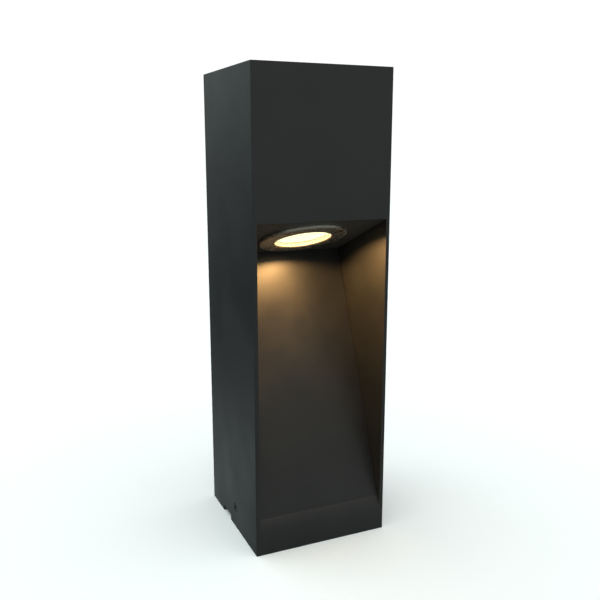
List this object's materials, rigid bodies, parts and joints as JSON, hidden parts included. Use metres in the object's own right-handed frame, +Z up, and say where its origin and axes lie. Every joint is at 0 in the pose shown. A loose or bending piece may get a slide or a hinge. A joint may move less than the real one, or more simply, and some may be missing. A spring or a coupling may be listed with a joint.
{
  "type": "bollard light",
  "caption": "Low square bollard light: an aluminium column with a slanted recess in its front, lit from above by a round lamp in the recess's ceiling.",
  "frame": {"origin": "centre of the footprint, on the ground", "axes": "+Z up along the column, -Y is the front with the light recess, +X to the right as seen facing +Y"},
  "size_m": [0.12, 0.12, 0.396],
  "materials": {
    "powder_coat": "satin charcoal powder coat with a fine orange-peel",
    "bezel_enamel": "semi-gloss charcoal enamel",
    "clear_glass": "clear toughened float glass",
    "silicone": "matt moulded silicone",
    "stainless": "rolled and tumbled stainless steel",
    "nickel_steel": "nickel-plated steel",
    "black_screw": "black oxide steel",
    "lamp_light": "frosted optic, lit warm white",
    "reflector": "vacuum metallised cup",
    "led_phosphor": "yellow phosphor over the chip",
    "lamp_aluminium": "die-cast aluminium, satin",
    "ceramic": "unglazed white steatite",
    "brass": "turned brass, dull",
    "zinc_plate": "zinc-plated sheet steel",
    "brown_sleeve": "extruded silicone sleeve",
    "blue_sleeve": "extruded silicone sleeve",
    "green_sleeve": "extruded silicone sleeve",
    "white_nylon": "moulded white nylon",
    "black_rubber": "matt EPDM rubber"
  },
  "bodies": {
    "column": {"column_housing": "powder_coat", "top_cap": "powder_coat", "lamp_shelf": "powder_coat", "slope_panel": "powder_coat", "bezel_ring": "bezel_enamel", "bezel_screws": "stainless", "lens_gasket": "silicone", "lens_glass": "clear_glass", "glass_retainer": "stainless", "lamp_holder": "ceramic", "holder_contacts": "brass", "holder_bracket": "zinc_plate", "holder_screws": "stainless", "shelf_studs": "stainless", "stud_nuts": "zinc_plate", "earth_tag": "brass", "live_lead": "brown_sleeve", "neutral_lead": "blue_sleeve", "earth_lead": "green_sleeve", "terminal_block": "white_nylon", "terminal_barrels": "brass", "terminal_screws": "nickel_steel", "block_screws": "stainless", "gear_plate": "zinc_plate", "gear_screws": "stainless", "cord_saddle": "white_nylon", "saddle_screws": "stainless", "cable_grommet": "black_rubber", "base_plate": "powder_coat", "base_pad": "black_rubber", "rivet_nuts": "zinc_plate", "side_screws": "black_screw"},
    "lamp": {"lamp_optic": "lamp_light", "lamp_reflector": "reflector", "led_chip": "led_phosphor", "led_board": "lamp_aluminium", "lamp_body": "lamp_aluminium", "lamp_base": "ceramic", "lamp_pins": "nickel_steel"}
  },
  "joints": [
    {"name": "lamp_release", "type": "hinge", "parent": "column", "child": "lamp", "pos_m": [0, -0.01814, 0.2601], "axis": [0, -0.3667, -0.9303], "range_deg": [0, 30]}
  ]
}
